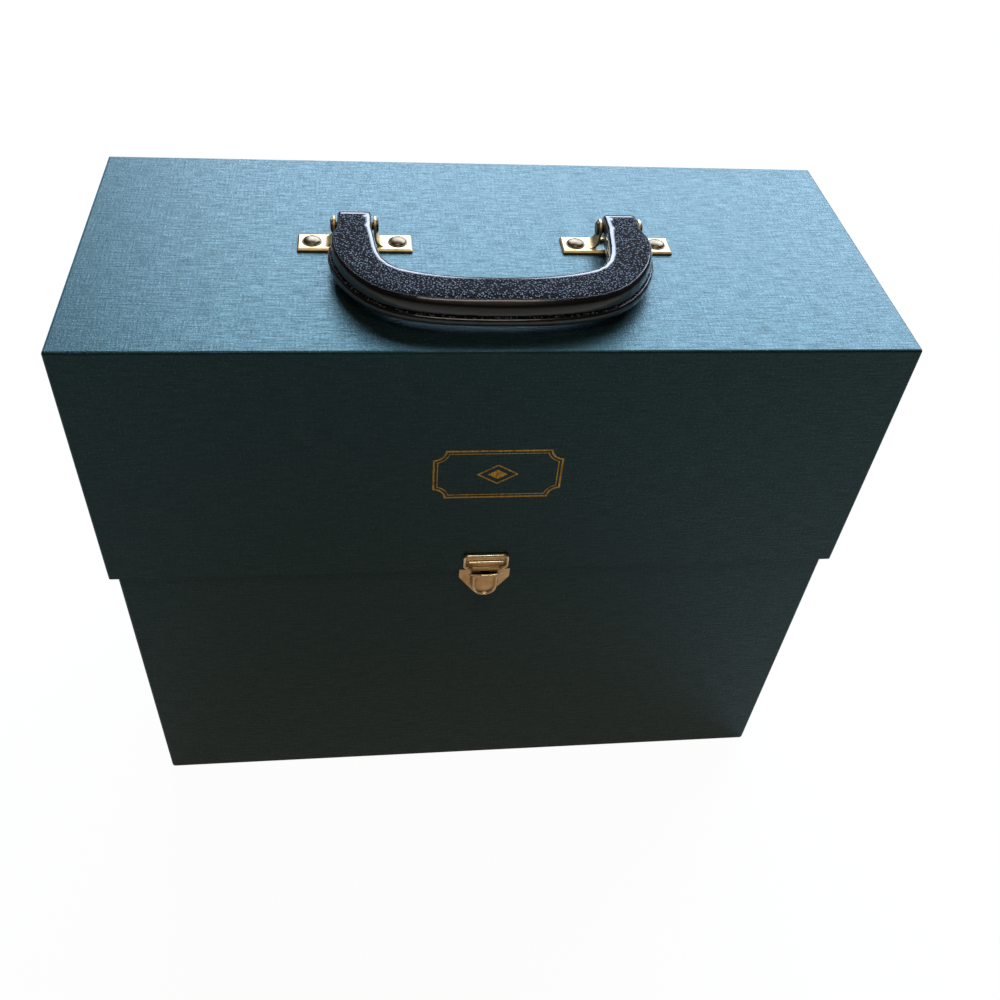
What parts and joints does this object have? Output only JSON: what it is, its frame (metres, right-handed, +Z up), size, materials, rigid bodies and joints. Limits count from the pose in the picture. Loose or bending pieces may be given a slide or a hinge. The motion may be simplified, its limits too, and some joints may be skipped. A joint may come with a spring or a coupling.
{
  "type": "carrying case",
  "caption": "Upright cloth-covered board case with a deep hinged lid, a folding moulded carrying handle and a small brass thumb latch, for papers and keepsakes.",
  "frame": {"origin": "middle of the bottom face, on the surface that the case stands on", "axes": "+X to the right along the width, +Y to the back where the hinge is, +Z up; the latch faces -Y"},
  "size_m": [0.33, 0.151, 0.3006],
  "materials": {
    "bookcloth": "woven, satin",
    "greyboard": "matte",
    "lining_paper": "matte",
    "handle_moulding": "grained, semi-gloss",
    "bracket_brass": "polished",
    "rivet_brass": "aged",
    "latch_brass": "aged, satin",
    "spring_steel": "bright"
  },
  "bodies": {
    "base": {"base_bottom_board": "greyboard", "base_front_board": "greyboard", "base_back_board": "greyboard", "base_left_board": "greyboard", "base_right_board": "greyboard", "base_cover": "bookcloth", "base_bottom_sheet": "bookcloth", "base_wall_lining": "lining_paper", "base_floor_lining": "lining_paper", "latch_plate": "latch_brass", "latch_shield": "latch_brass", "latch_plate_rivets": "rivet_brass", "latch_plate_washers": "rivet_brass", "catch_leaf": "spring_steel", "slide_spring": "spring_steel"},
    "lid": {"lid_top_board": "greyboard", "lid_front_board": "greyboard", "lid_left_board": "greyboard", "lid_right_board": "greyboard", "lid_cover": "bookcloth", "lid_wall_lining": "lining_paper", "lid_top_lining": "lining_paper", "hinge_cloth": "bookcloth", "hinge_strip": "lining_paper", "latch_frame": "latch_brass", "latch_tongue": "latch_brass", "latch_backing_plate": "latch_brass", "left_handle_bracket": "bracket_brass", "right_handle_bracket": "bracket_brass", "handle_rivets": "rivet_brass", "handle_rivet_washers": "rivet_brass", "left_handle_pin": "rivet_brass", "right_handle_pin": "rivet_brass"},
    "handle": {"handle_upper": "handle_moulding", "handle_lower": "handle_moulding"},
    "thumb": {"thumb_slide": "latch_brass"}
  },
  "joints": [
    {"name": "lid_hinge", "type": "hinge", "parent": "base", "child": "lid", "pos_m": [0, 0.07285, 0.28485], "axis": [-1, 0, 0], "range_deg": [0, 110], "deforming": ["hinge_cloth", "hinge_strip"]},
    {"name": "handle_swing", "type": "hinge", "parent": "lid", "child": "handle", "pos_m": [0, 0, 0.294], "axis": [-1, 0, 0], "range_deg": [0, 180]},
    {"name": "thumb_slide", "type": "slide", "parent": "base", "child": "thumb", "axis": [0, 0, -1], "range_m": [0, 0.002], "stiffness_N_per_m": 200, "springref_m": -0.004, "deforming": ["slide_spring", "catch_leaf"]}
  ]
}
